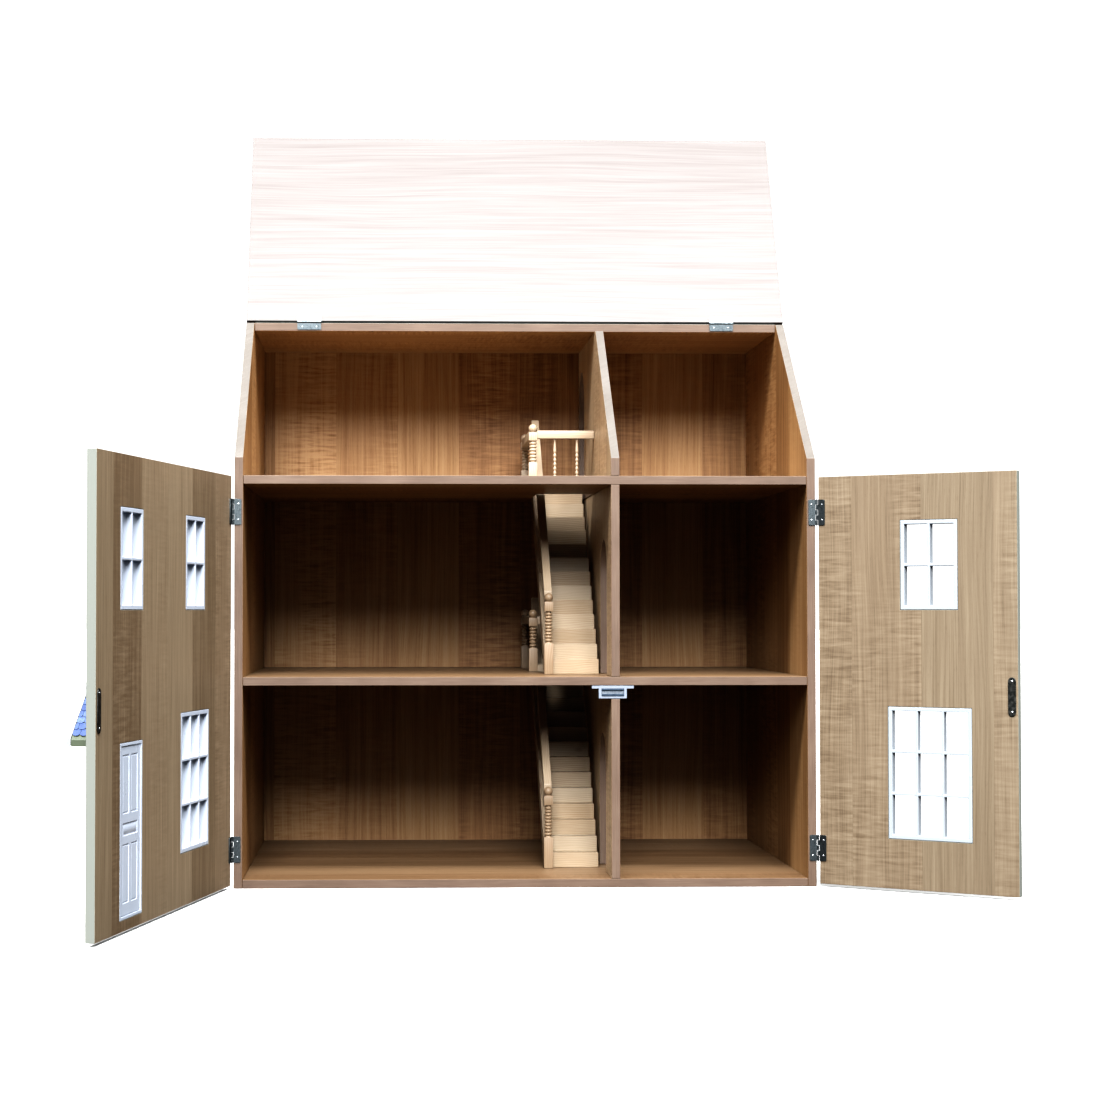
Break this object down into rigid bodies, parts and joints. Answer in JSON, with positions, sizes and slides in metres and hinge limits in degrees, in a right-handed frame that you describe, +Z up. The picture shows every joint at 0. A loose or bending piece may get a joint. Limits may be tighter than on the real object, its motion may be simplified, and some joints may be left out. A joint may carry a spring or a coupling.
{
  "type": "wooden dollhouse",
  "caption": "Open-fronted wooden toy house of stacked rooms with hinged front doors, a hinged roof slope, stairs, landings and windows.",
  "frame": {"origin": "on the ground, under the middle of the base board", "axes": "+Z up, +X to the right seen from the open front, +Y towards the back panel"},
  "size_m": [0.9705, 0.8281, 0.898],
  "materials": {
    "walnut_veneer": "satin mid-brown wood veneer with upright grain",
    "board_edge": "bare sawn edge of board, dusty pink-brown",
    "pine": "pale bare pine with fine grain and small knots",
    "cream_paint": "satin cream paint outside, bare pale grain inside",
    "charcoal_paint": "matt charcoal paint outside, bare pale grain inside",
    "white_plastic": "cool white moulded plastic",
    "blue_slate": "blue painted tiles",
    "zinc_steel": "bright zinc plate",
    "black_steel": "black oxide steel",
    "ferrite": "dark grey ferrite magnet",
    "brass": "polished brass"
  },
  "bodies": {
    "carcass": {"attic_floor_board": "walnut_veneer", "attic_landing_balustrade": "pine", "attic_landing_front_newel": "pine", "attic_landing_kerb": "pine", "attic_landing_rear_newel": "pine", "attic_landing_side_rail": "pine", "attic_partition": "walnut_veneer", "back_panel": "walnut_veneer", "base_board": "board_edge", "catch_case": "white_plastic", "catch_lower_pole": "black_steel", "catch_magnet": "ferrite", "catch_upper_pole": "black_steel", "first_floor_board": "walnut_veneer", "first_floor_landing_balustrade": "pine", "first_floor_landing_front_newel": "pine", "first_floor_landing_kerb": "pine", "first_floor_landing_rear_newel": "pine", "first_floor_landing_side_rail": "pine", "first_floor_partition": "walnut_veneer", "first_floor_stair_banister": "pine", "first_floor_stair_newel": "pine", "first_floor_stair_steps": "pine", "first_floor_stair_string": "pine", "ground_partition": "walnut_veneer", "ground_stair_banister": "pine", "ground_stair_newel": "pine", "ground_stair_steps": "pine", "ground_stair_string": "pine", "left_door_lower_hinge_fixed_leaf": "zinc_steel", "left_door_upper_hinge_fixed_leaf": "zinc_steel", "left_side_panel": "walnut_veneer", "right_door_lower_hinge_fixed_leaf": "zinc_steel", "right_door_upper_hinge_fixed_leaf": "zinc_steel", "right_side_panel": "walnut_veneer", "roof_left_hinge_fixed_leaf": "zinc_steel", "roof_right_hinge_fixed_leaf": "zinc_steel", "top_board": "walnut_veneer"},
    "left_door": {"entrance_frame": "white_plastic", "hood_gable": "white_plastic", "hood_left_slope": "blue_slate", "hood_right_slope": "blue_slate", "left_door_lower_hinge_moving_leaf": "zinc_steel", "left_door_upper_hinge_moving_leaf": "zinc_steel", "left_front_door": "cream_paint", "left_lower_window": "white_plastic", "left_striker_plate": "black_steel", "left_upper_window": "white_plastic", "middle_upper_window": "white_plastic"},
    "entrance_door": {"entrance_door_leaf": "white_plastic", "entrance_knob": "brass"},
    "right_door": {"right_door_lower_hinge_moving_leaf": "zinc_steel", "right_door_upper_hinge_moving_leaf": "zinc_steel", "right_front_door": "cream_paint", "right_lower_window": "white_plastic", "right_striker_plate": "black_steel", "right_upper_window": "white_plastic"},
    "roof": {"roof_left_hinge_moving_leaf": "zinc_steel", "roof_panel": "charcoal_paint", "roof_right_hinge_moving_leaf": "zinc_steel"}
  },
  "joints": [
    {"name": "left_door_hinge", "type": "hinge", "parent": "carcass", "child": "left_door", "pos_m": [-0.324, -0.2064, 0.229], "axis": [0, 0, 1], "range_deg": [-77, 102.7]},
    {"name": "right_door_hinge", "type": "hinge", "parent": "carcass", "child": "right_door", "pos_m": [0.324, -0.2064, 0.229], "axis": [0, 0, 1], "range_deg": [-146.3, 33]},
    {"name": "roof_hinge", "type": "hinge", "parent": "carcass", "child": "roof", "pos_m": [0, -0.0154, 0.6512], "axis": [1, 0, 0], "range_deg": [0, 157.7]},
    {"name": "entrance_door_hinge", "type": "hinge", "parent": "left_door", "child": "entrance_door", "pos_m": [-0.3943, -0.49715, 0.0977], "axis": [0, 0, 1], "range_deg": [0, 100]}
  ]
}
